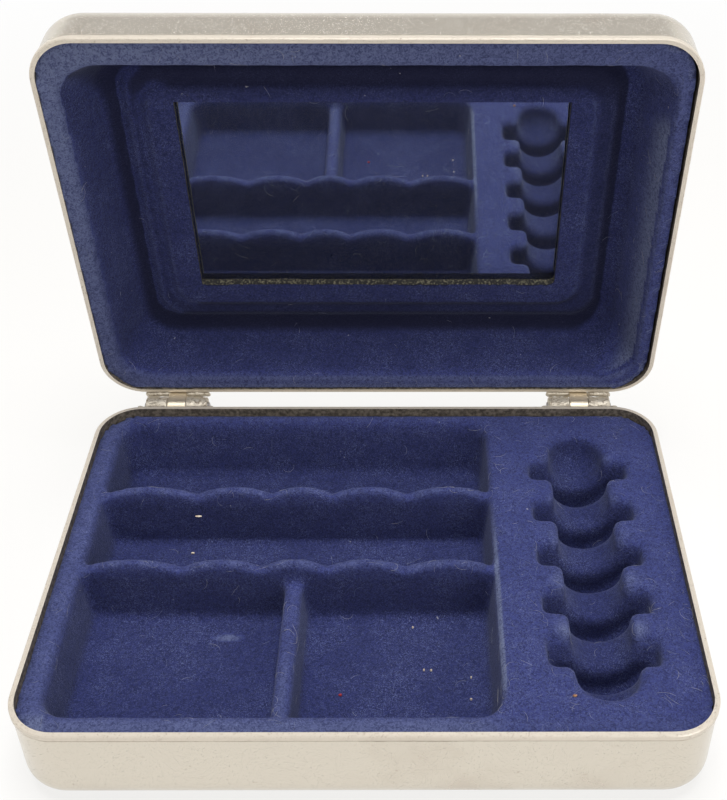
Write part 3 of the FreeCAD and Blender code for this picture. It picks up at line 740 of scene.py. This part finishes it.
for point in tray.verts:
    way = point.co.y + 2 * SLOT_PITCH + SLOT_WIDTH / 2
    if point.co.x < WELL_FROM_X or way < 0:
        continue
    number = min(4, way // SLOT_PITCH)
    into = way - SLOT_PITCH * number
    behind = max(0, 1 - (into - SLOT_WIDTH) / (SLOT_PITCH - SLOT_WIDTH))
    raised = max(0, (point.co.z - LEAN_FROM_Z) / (FLANGE_LEVEL - LEAN_FROM_Z))
    lean = SLOT_LEAN if number else FRONT_SLOT_LEAN
    point.co.y += lean * min(into / SLOT_WIDTH, behind) * raised
    if point.co.z < SLOT_FLOOR_FROM:
        point.co.z = SLOT_FLOOR_FROM - (SLOT_FLOOR_FROM - point.co.z) * SLOT_FLOOR_STRETCH
print("deepest slot floor:", round(1000 * min(point.co.z for point in tray.verts if point.co.x > WELL_FROM_X), 1), "mm")

# %% Tongues between the slots
WELL_X = 0.0534
TONGUE_REACH = 0.0085
TONGUE_HALF_WIDTH = 0.0035
TONGUE_HALF_LENGTH = 0.005
TONGUE_SHIFT = 0.0085
TONGUE_LEVEL = 0.0195
TONGUE_WEAR = 0.2

for point in tray.verts:
    beside = max(0, 1 - abs(abs(point.co.x - WELL_X) - TONGUE_REACH) / TONGUE_HALF_WIDTH)
    steps = (point.co.y + TONGUE_SHIFT) / SLOT_PITCH
    between = max(0, 1 - abs(steps - round(steps)) * SLOT_PITCH / TONGUE_HALF_LENGTH)
    if point.co.z > TONGUE_LEVEL and abs(point.co.y) < 2 * SLOT_PITCH:
        point[layer] += TONGUE_WEAR * beside * between * (1 - point.co.y / (2 * SLOT_PITCH))
print("tallest proud value:", round(max(point[layer] for point in tray.verts), 2))

# %% [markdown]
# The skin is now fitted to its rim, roughened and given its lint. A Solidify modifier turns it back into a sheet, which
# is simpler than modelling the back, and the finished piece stands in for the CAD node.

# %% Base liner
FLOCK_SWELL = 0.00010
FLOCK_FUZZ = 0.00006


def new_piece(name, shape, body, slot, *materials):
    """A finished mesh object that rides on a body."""
    piece = bare_object(name, shape, *materials)
    piece.data.shade_smooth()
    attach(piece, body)
    print(name, len(piece.data.polygons), "faces")
    return piece


fit_to_rim(tray, "base", 0)
roughen(tray, FLOCK_SWELL, FLOCK_FUZZ)
tray_lint = lint_on(tray, 400)
base_liner = new_piece("flocked_tray", tray, "base", "flock", flock)
new_piece("tray_lint", tray_lint, "base", "flock", lint)
base_liner.modifiers.new("sheet", "SOLIDIFY").thickness = FLOCKED_SHEET
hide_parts("base_liner")

# %% [markdown]
# A few crumbs lie in the tray: pale ones behind the ribs on the left and in the front right compartment, a red one near
# them, and a rusty one in front of the ring well. Each is a small ball, drawn out and set down on the flock.

# %% Crumbs
CRUMB_RADIUS = 0.0003
CRUMB_LENGTH = 1.4
CRUMB_HEIGHT = 1.3


def crumb_finish(name, dark, light):
    """Dull grit between two colours."""
    return speckled(name, dark, light, 0.0004, 0.4, 0.6, Roughness=0.75)


CRUMB_FINISHES = (crumb_finish("crumb", (0.62, 0.50, 0.40), (0.80, 0.72, 0.62)),
                  crumb_finish("rusty_crumb", (0.30, 0.13, 0.06), (0.55, 0.32, 0.18)),
                  crumb_finish("red_crumb", (0.30, 0.02, 0.03), (0.55, 0.06, 0.08)))
PALE, RUSTY, RED = range(3)
CRUMB_PLACES = ((PALE, 1.2, (-0.0475, 0.0153, 0.0071)), (PALE, 2.2, (-0.0455, 0.0190, 0.0168)),
                (PALE, 0.6, (0.0127, -0.0230, 0.0070)), (PALE, 0.7, (0.0144, -0.0231, 0.0070)),
                (PALE, 0.5, (0.0238, -0.0252, 0.0070)), (PALE, 0.7, (0.0236, -0.0315, 0.0070)),
                (PALE, 0.6, (0.0100, -0.0099, 0.0070)), (RED, 1.1, (-0.0067, -0.0303, 0.0071)),
                (RUSTY, 1.2, (0.0453, -0.0427, 0.0226)))

crumbs = bmesh.new()
for kind, stretch, place in CRUMB_PLACES:
    drawn_out = Matrix.Diagonal((CRUMB_LENGTH * stretch, 1, CRUMB_HEIGHT / max(1, stretch), 1))
    ball = bmesh.ops.create_icosphere(crumbs, subdivisions=2, radius=CRUMB_RADIUS,
                                      matrix=Matrix.Translation(place) @ drawn_out)
    for face in {face for point in ball["verts"] for face in point.link_faces}:
        face.material_index = kind
new_piece("crumbs", crumbs, "base", "flock", *CRUMB_FINISHES)

# %% [markdown]
# ## The liner in the lid
# The lid's liner is formed like a picture frame. A window was cut through it by hand with a knife, and the mirror lies
# behind that. The skin is made as before, with the window closed, and the window is then cut with a Boolean so that
# its raw edge stays crisp. The lid leans, so its own directions are found from the mirror's front face.

# %% Lid directions
lid_up = facing.cross(across)
mirror_middle = (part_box("mirror")[0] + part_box("mirror")[1]) / 2


def in_lid(point):
    """A point in the lid's own directions, measured from the mirror's middle: across, up and towards the viewer."""
    offset = point - mirror_middle
    return Vector((offset.dot(across), offset.dot(lid_up), offset.dot(facing)))


print("lid faces", [round(part, 3) for part in facing], "and its upward edge runs", [round(part, 3) for part in lid_up])

# %% Lid liner skin
WINDOW_SEARCH = 0.06
CUT_TILT = 0.1


def window_edge(shape):
    """The open edges round the window."""
    return [edge for edge in shape.edges if edge.is_boundary and in_lid(edge.verts[0].co).xy.length < WINDOW_SEARCH]


def close_window(shape):
    """Deletes the window's cut edges and closes the hole level with the land round it."""
    first = [face for edge in window_edge(shape) for face in edge.link_faces]
    cut_edges = spread(first, lambda face: abs(face.normal.dot(facing)) < CUT_TILT)
    bmesh.ops.delete(shape, geom=list(cut_edges), context="FACES")
    bmesh.ops.edgeloop_fill(shape, edges=window_edge(shape))


frame_skin = merged_copy("lid_liner")
frame_back = min(point.co.dot(facing) for point in frame_skin.verts)
keep_face_side(frame_skin, facing)
close_window(frame_skin)
close_to_block(frame_skin, facing, frame_back)
frame_skin = even_quads(frame_skin, VOXEL)
drop_back(frame_skin, facing)
soften(frame_skin, frame_skin.verts, 1)
mark_crests(frame_skin, VOXEL / 2, 1)
# Proud starts at 0 here, so the groove at the bottom of the pocket is painted in the deepest shade.
mark_height(frame_skin, facing, 0, max(point.co.dot(facing) for point in frame_skin.verts))
print("lid liner skin:", len(frame_skin.faces), "faces")

# %% [markdown]
# The frame's flange is worn like the tray's, most at the left and top. Its right wall is painted lighter, as light and
# as dust, and what looks down is painted dark as shade, so both go by the way that a point faces. Near its top the
# pocket is painted darker as shade too. The pocket's side walls are drawn outwards to where
# the photograph shows them, and the edge curls forward at the bottom and the left, where it is pressed against the rim.

# %% Worn frame, with painted light and shade
FLANGE_FROM = 0.9
FLANGE_WEAR = 0.20
FLANGE_WEAR_TO_LEFT = 1.4
FLANGE_WEAR_TO_TOP = 1.6
# Painted light and dust on the right wall; painted shade on what looks down and near the top of the pocket.
RIGHT_WALL_LIGHT_AND_DUST = 0.7
DARK_BELOW = 1.5
TOP_SHADE = 0.7
TOP_SHADE_FROM = 0.026
TOP_SHADE_FADE = 0.008

layer = frame_skin.verts.layers.float["proud"]
crest_layer = frame_skin.verts.layers.float["crest"]
for point in frame_skin.verts:
    place = in_lid(point.co)
    if point[layer] > FLANGE_FROM:
        point[layer] += FLANGE_WEAR - place.x * FLANGE_WEAR_TO_LEFT + place.y * FLANGE_WEAR_TO_TOP
    else:
        # Painted shade: darker where the point looks down and near the top, and without its pale crest.
        lit = share(1 + DARK_BELOW * point.normal.dot(lid_up))
        lit *= 1 - TOP_SHADE * share((place.y - TOP_SHADE_FROM) / TOP_SHADE_FADE)
        point[layer] = point[layer] * lit + RIGHT_WALL_LIGHT_AND_DUST * max(0, -point.normal.dot(across))
        point[crest_layer] *= lit
print("worn points:", sum(point[layer] > 1 for point in frame_skin.verts))

# %% Frame edges
CURL_RISE = 0.0008
CURL_WIDTH = 0.0025
POCKET_FROM = 0.061
POCKET_EDGE = 0.069
LINER_EDGE = 0.0733
POCKET_STRETCH = 0.0022
LID_RIGHT_GAP = 0.0006


def curl_edge(shape, direction):
    """Curls the liner's edge on one side forward."""
    reaches = [point.co.dot(direction) for point in shape.verts]
    far = max(reaches)
    for point, reach in zip(shape.verts, reaches):
        point.co += facing * CURL_RISE * max(0, 1 - (far - reach) / CURL_WIDTH)


for point in frame_skin.verts:
    side = 1 if point.co.x > 0 else -1
    wall = share((abs(point.co.x) - POCKET_FROM) / (POCKET_EDGE - POCKET_FROM))
    rim = share((abs(point.co.x) - POCKET_EDGE) / (LINER_EDGE - POCKET_EDGE))
    point.co.x += side * POCKET_STRETCH * wall * (1 - rim)
fit_to_rim(frame_skin, "lid", LID_RIGHT_GAP)
curl_edge(frame_skin, -lid_up)
curl_edge(frame_skin, -across)
roughen(frame_skin, FLOCK_SWELL, FLOCK_FUZZ)
new_piece("frame_lint", lint_on(frame_skin, 120), "lid", "flock", lint)

# %% [markdown]
# The knife went round the window freehand: its corners are sharp, except for one that was cut round, and its edges
# wander a little and slant at the bottom. A modelled opening would be too neat, so the cutter is a slab with those
# faults in it. Its own finish, the raw edge of the sheet with its dark backing, is carried onto the cut faces by the
# Boolean.

# %% Window cutter
WINDOW_LAP = 0.0027
KNIFE_CORNER = 0.0003
ROUND_CORNER = 0.0016
KNIFE_WANDER = 0.00012
WANDER_NOISE = 400
KNIFE_SLANT = 1.4
CUTTER_DEPTH = 4 * FLOCKED_SHEET
EDGE_CUTS = 40

mirror_points = [in_lid(point.co) for point in nodes["mirror"].data.vertices]
window_width = 2 * (max(point.x for point in mirror_points) - WINDOW_LAP)
window_height = 2 * (max(point.y for point in mirror_points) - WINDOW_LAP)
lid_place = Matrix((across, lid_up, facing)).transposed().to_4x4()
lid_place.translation = mirror_middle

raw_edge = speckled("raw_cut_edge", (0.010, 0.010, 0.012), (0.22, 0.21, 0.15), 0.0006, 0.45, 0.75,
                    bump=0.0001, detail=4, Roughness=0.7)


def along_facing(edge):
    """True for a cutter edge that runs from the front to the back."""
    return abs((edge.verts[0].co - edge.verts[1].co).normalized().z) > 0.9


def window_cutter():
    """The slab that cuts the window, in the lid's own directions."""
    slab = bmesh.new()
    bmesh.ops.create_cube(slab, size=1)
    bmesh.ops.scale(slab, vec=(window_width, window_height, CUTTER_DEPTH), verts=slab.verts)
    corners = [edge for edge in slab.edges if along_facing(edge)]
    round_one = [edge for edge in corners if edge.verts[0].co.x > 0 > edge.verts[0].co.y]
    sharp = [edge for edge in corners if edge not in round_one]
    for edges, radius in ((round_one, ROUND_CORNER), (sharp, KNIFE_CORNER)):
        bmesh.ops.bevel(slab, geom=edges, offset=radius, segments=4, profile=0.5, affect="EDGES", material=-1)
    long_edges = [edge for edge in slab.edges if edge.calc_length() > window_height / 2]
    bmesh.ops.subdivide_edges(slab, edges=long_edges, cuts=EDGE_CUTS)
    for point in slab.verts:
        wander = noise.noise((point.co * WANDER_NOISE).xy.to_3d())
        point.co.xy += point.co.xy.normalized() * wander * KNIFE_WANDER
        if point.co.y < 0:
            point.co.y -= KNIFE_SLANT * (point.co.z + FLOCKED_SHEET)
    bmesh.ops.triangulate(slab, faces=slab.faces)
    return slab


cutter_shape = window_cutter()
land_front = max(in_lid(face.calc_center_median()).z for face in frame_skin.faces
                 if in_lid(face.calc_center_median()).xy.length < window_height / 3)
bmesh.ops.translate(cutter_shape, vec=(0, 0, land_front), verts=cutter_shape.verts)
bmesh.ops.transform(cutter_shape, matrix=lid_place, verts=cutter_shape.verts)
print(f"window: {window_width * 1000:.1f} by {window_height * 1000:.1f} mm")

# %% Cut the window
SHARP_EDGE = radians(50)

uncut = bare_object("uncut", frame_skin, flock)
cutter = bare_object("cutter", cutter_shape, raw_edge)
uncut.modifiers.new("sheet", "SOLIDIFY").thickness = FLOCKED_SHEET
cut = uncut.modifiers.new("window", "BOOLEAN")
cut.object = cutter
cut.material_mode = "TRANSFER"
cut_frame = bpy.data.meshes.new_from_object(uncut.evaluated_get(bpy.context.evaluated_depsgraph_get()))
lid_liner_shape = bmesh.new()
lid_liner_shape.from_mesh(cut_frame)
for piece in (uncut, cutter):
    bpy.data.objects.remove(piece)
lid_liner = new_piece("flocked_frame", lid_liner_shape, "lid", "flock", flock, raw_edge)
lid_liner.data.set_sharp_from_angle(angle=SHARP_EDGE)
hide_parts("lid_liner")

# %% [markdown]
# ## The mirror
# The mirror is sheet glass with its back silvered, so what it shows is 2 mm behind the face, and the window's edge is
# seen twice. One mirror-like face would lose that depth. The piece is a merged copy of the CAD slab with two finishes:
# clear glass, and silver on the back face. The card behind it keeps its CAD mesh.

# %% Mirror
GLASS = (0.96, 0.985, 0.975, 1)
SILVERING_GAP = 0.00003
BACK_FACE = -0.9

glass, tree, shader = new_finish("mirror_glass", Base_Color=GLASS, Transmission_Weight=0.988, IOR=1.5)
film = mask(tree, cloud(tree, 0.008, detail=5), 0.55, 0.8, 0.0, 0.06)
tree.links.new(film, shader.inputs["Roughness"])
silvering = speckled("mirror_silvering", (0.83, 0.85, 0.85), (0.10, 0.09, 0.10), 0.0016, 0.76, 0.79, detail=2,
                     Metallic=1, Roughness=0.015)

slab = merged_copy("mirror")
for face in slab.faces:
    face.material_index = 1 if face.normal.dot(facing) < BACK_FACE else 0
back_points = {point for face in slab.faces if face.material_index for point in face.verts}
bmesh.ops.translate(slab, vec=facing * SILVERING_GAP, verts=list(back_points))
mirror = new_piece("mirror_slab", slab, "lid", "mirror", glass, silvering)
mirror.data.shade_flat()
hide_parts("mirror")

card = speckled("mirror_card", (0.30, 0.23, 0.15), (0.42, 0.33, 0.22), 0.0012, 0.35, 0.65, bump=0.0001, detail=5,
                Roughness=0.9)
dress("mirror_backing", card)

# %% [markdown]
# ## Solder round the hinges
# The hinges were soldered on by hand. The knuckles on the tub are rough with it, and lumps of it sit along the rims on
# both sides of the brass strap. A knuckle leaf is remeshed finely and roughened. A row of lumps starts as a row of
# small balls, which the remesh runs together.

# %% Solder
SOLDER_VOXEL = 0.00022
LID_LUMP_REACH = 0.0039
LID_LUMP_ANGLES = (radians(25), radians(39))
LID_LUMP = 0.0007
BASE_LUMP = 0.0006
BASE_LUMP_BEHIND = 0.0006
BASE_LUMP_BELOW = 0.00105
LUMP_COUNT = 7
LUMP_LENGTH = 1.5
LUMP_NOISE = 1500
LUMP_UNEVEN = 0.35
SOLDER_SWELL = 0.00016
SOLDER_FUZZ = 0.00010
hinge_axis = Vector(frame["joints"][0]["pos_m"])


def lump_row(shape, place, start, end, radius):
    """Adds a row of balls of uneven size beside a place, from start to end across."""
    for step in range(LUMP_COUNT):
        middle = (place + across * start).lerp(place + across * end, step / (LUMP_COUNT - 1))
        uneven = 1 + LUMP_UNEVEN * noise.noise(middle * LUMP_NOISE)
        drawn_out = Matrix.Diagonal((LUMP_LENGTH * uneven, uneven, uneven, 1))
        bmesh.ops.create_icosphere(shape, subdivisions=3, radius=radius, matrix=Matrix.Translation(middle) @ drawn_out)


def solder_piece(name, shape, body):
    """Runs the shape together and gives it a rough skin."""
    run_together = even_quads(shape, SOLDER_VOXEL)
    soften(run_together, run_together.verts, 2)
    roughen(run_together, SOLDER_SWELL, SOLDER_FUZZ)
    return new_piece(name, run_together, body, "solder", solder)


for side in ("left", "right"):
    leaf = solder_piece(f"{side}_knuckles", merged_copy(f"{side}_hinge_base_leaf"), "base")
    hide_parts(f"{side}_hinge_base_leaf")
    low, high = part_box(f"{side}_hinge_base_leaf")
    strap_low, strap_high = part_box(f"{side}_hinge_lid_leaf")
    lid_lumps = bmesh.new()
    base_lumps = bmesh.new()
    for outer, inner in ((low.x, strap_low.x), (high.x, strap_high.x)):
        out = 1 if outer > inner else -1
        for angle in LID_LUMP_ANGLES:
            at_lid = hinge_axis + Vector((0, cos(angle), sin(angle))) * LID_LUMP_REACH
            lump_row(lid_lumps, at_lid, inner + out * 0.0006, outer - out * 0.0004, LID_LUMP)
        at_base = Vector((0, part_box("base_rim")[1].y + BASE_LUMP_BEHIND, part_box("base_rim")[1].z - BASE_LUMP_BELOW))
        lump_row(base_lumps, at_base, inner + out * 0.0012, outer + out * 0.0012, BASE_LUMP)
    solder_piece(f"{side}_lid_solder", lid_lumps, "lid")
    solder_piece(f"{side}_base_solder", base_lumps, "base")

# %% [markdown]
# ## The seam under each rim
# Solder crept out where the rim meets the pan, and the file left a ragged burr there that holds dirt. It is drawn as a
# thin uneven bead that follows the pan's outline just behind the rim. A bevelled curve would have an even section, so
# a small ring is extruded from place to place instead, and swells and shrinks on its way.

# %% Seam beads
SEAM_CORNER = 0.0109
SEAM_INSET = 0.0003
SEAM_STEP = 0.0006
SEAM_OUT = 0.00015
SEAM_TALL = 0.00022
SEAM_SIDES = 6
SEAM_NOISE = ((0.45, 900), (0.3, 170))
CORNER_STEPS = 16

seam = metal("seam_dirt", (0.55, 0.49, 0.41), (0.16, 0.13, 0.10), 0.5, 0.2, tarnish_share=0.9, bump=0.0001)


def outline(half_x, half_y, corner):
    """Points round a rounded rectangle, each with the direction that looks outwards there."""
    places = []
    for turn, corner_x, corner_y in ((0, 1, 1), (1, -1, 1), (2, -1, -1), (3, 1, -1)):
        middle = Vector((corner_x * (half_x - corner), corner_y * (half_y - corner), 0))
        for step in range(CORNER_STEPS + 1):
            angle = radians(90 * turn + 90 * step / CORNER_STEPS)
            out = Vector((cos(angle), sin(angle), 0))
            places.append((middle + out * corner, out))
    return places


def even_steps(places, step):
    """Points every step of the way round, between those given."""
    dense = []
    for (start, start_out), (end, end_out) in zip(places, places[1:] + places[:1]):
        parts = max(1, round((end - start).length / step))
        for part in range(parts):
            dense.append((start.lerp(end, part / parts), start_out.lerp(end_out, part / parts).normalized()))
    return dense


def seam_bead(half):
    """The bead behind one rim, made flat and then set against the rim."""
    axes, low, high = rim_reach(half)
    reach = (high - low) / 2
    path = even_steps(outline(reach.x - SEAM_INSET, reach.y - SEAM_INSET, SEAM_CORNER), SEAM_STEP)
    angles = [radians(360 * side / SEAM_SIDES) for side in range(SEAM_SIDES)]
    section = [(SEAM_OUT * cos(angle), SEAM_TALL * sin(angle)) for angle in angles]
    rings = []
    for place, out in path:
        uneven = 1 + sum(depth * noise.noise(place * scale) for depth, scale in SEAM_NOISE)
        rings.append([place + uneven * (out * wide + UP * tall) for wide, tall in section])
    bead = bmesh.new()
    sweep(bead, [*rings, rings[0]])
    bmesh.ops.remove_doubles(bead, verts=bead.verts, dist=MERGE_DISTANCE)
    middle = (low + high) / 2
    set_down = Matrix(axes).transposed().to_4x4()
    set_down.translation = set_down @ Vector((middle.x, middle.y, low.z - SEAM_OUT))
    bmesh.ops.transform(bead, matrix=set_down, verts=bead.verts)
    bmesh.ops.recalc_face_normals(bead, faces=bead.faces)
    return new_piece(f"{half}_seam", bead, half, "rim", seam)


for half in MOUTH:
    seam_bead(half)

# %% [markdown]
# ## The felt under the base
# A thin felt pad is glued under the tub. It is a soft sheet, so it replaces its plain CAD solid. Cloth simulation has
# nothing to do here, because the pad lies flat: the solid's copy is cut into small quads and its fibres are raised
# a little.

# %% Felt
FELT = (0.020, 0.026, 0.090)
FELT_SHADE = (0.010, 0.013, 0.045)
FELT_VOXEL = 0.0007
FELT_NOISE = 700
FELT_FUZZ = 0.00005
FELT_SINK = 0.00006

felt_finish = speckled("base_felt_cloth", FELT_SHADE, FELT, 0.0009, 0.3, 0.7, bump=0.0002, detail=5,
                       Roughness=0.95, Specular_IOR_Level=0.1, Sheen_Weight=0.3)
pad = even_quads(merged_copy("base_felt"), FELT_VOXEL)
soften(pad, pad.verts, 2)
for point in pad.verts:
    point.co.z += noise.noise(point.co * FELT_NOISE) * FELT_FUZZ - point.normal.z * FELT_SINK
low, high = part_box("base_felt")
felt = new_piece("felt_pad", pad, "base", "felt", felt_finish)
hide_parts("base_felt")

# %% [markdown]
# ## Floor and light
# The photograph is a cut-out on plain white, with soft light from above and a little from the right. The world shows
# white to the camera and to reflections, with a grey ceiling for the metal, and lights everything else a little less.
# More light on the box would also whiten the floor, but would wash its colours out. The floor takes a faint
# shadow, and is plain white further away, so that its far edge doesn't show.

# %% World
AMBIENT = (0.43, 0.385, 0.30)
CEILING = (0.62, 0.62, 0.63)
WHITE = (1.0, 1.0, 1.0)


def seen_directly(tree):
    """1 for camera, glossy and transmitted rays."""
    path = add(tree, "ShaderNodeLightPath").outputs
    seen = combine(tree, "MAXIMUM", path["Is Camera Ray"], path["Is Glossy Ray"])
    return combine(tree, "MAXIMUM", seen, path["Is Transmission Ray"])


def show(tree, plain, shown, where, output):
    """Sends one shader to the output where the mask is 1, and the plain one elsewhere."""
    mix = add(tree, "ShaderNodeMixShader")
    for source, socket in ((where, 0), (plain.outputs[0], 1), (shown.outputs[0], 2)):
        tree.links.new(source, mix.inputs[socket])
    tree.links.new(mix.outputs["Shader"], tree.nodes[output].inputs["Surface"])


world = bpy.data.worlds.new("studio")
world.use_nodes = True
bpy.context.scene.world = world
tree = world.node_tree
white = tree.nodes["Background"]
direction = add(tree, "ShaderNodeSeparateXYZ")
tree.links.new(add(tree, "ShaderNodeTexCoord").outputs["Generated"], direction.inputs["Vector"])
above = mask(tree, direction.outputs["Z"], 0.20, 0.60)
ceiling = combine(tree, "MULTIPLY", above, add(tree, "ShaderNodeLightPath").outputs["Is Glossy Ray"])
tree.links.new(lay_over(tree, WHITE, CEILING, ceiling), white.inputs["Color"])
ambient = add(tree, "ShaderNodeBackground")
connect(tree, AMBIENT, ambient.inputs["Color"])
show(tree, ambient, white, seen_directly(tree), "World Output")
print("world set")

# %% Floor
FLOOR_HALF = 3
PAPER = (0.9, 0.9, 0.9, 1)
SHADOW_REACH = 0.22
SHADOW_END = 2.5 * SHADOW_REACH
SHADOW_GLOW = 0.75

floor_shape = bmesh.new()
bmesh.ops.create_grid(floor_shape, x_segments=1, y_segments=1, size=FLOOR_HALF)
floor_finish, tree, paper = new_finish("pale_floor", Base_Color=PAPER, Roughness=0.9)
away = add(tree, "ShaderNodeVectorMath", operation="LENGTH")
tree.links.new(add(tree, "ShaderNodeTexCoord").outputs["Object"], away.inputs[0])
pale = mask(tree, away.outputs["Value"], SHADOW_REACH, SHADOW_END, SHADOW_GLOW, 1.0)
glow = add(tree, "ShaderNodeEmission")
show(tree, paper, glow, combine(tree, "MULTIPLY", seen_directly(tree), pale), "Material Output")
floor = bare_object("floor", floor_shape, floor_finish)
print("floor laid")

# %% Lamps
BOX_MIDDLE = Vector((0, 0.02, 0.05))


def soft_lamp(name, place, size, watts):
    """A square lamp turned to the middle of the box."""
    lamp = bpy.data.lights.new(name, "AREA")
    lamp.size = size
    lamp.energy = watts
    holder = bpy.data.objects.new(name, lamp)
    bpy.context.scene.collection.objects.link(holder)
    holder.location = place
    holder.rotation_euler = (BOX_MIDDLE - holder.location).to_track_quat("-Z", "Y").to_euler()


soft_lamp("key", Vector((0.02, -0.03, 0.80)), 0.40, 5.0)
soft_lamp("fill", Vector((0.45, -0.50, 0.35)), 0.4, 1.0)
bpy.context.scene.view_settings.view_transform = "Standard"
print("lamps set")

# %% [markdown]
# ## The end
# The dressed box must keep the CAD model's size.

# %% The end
import json
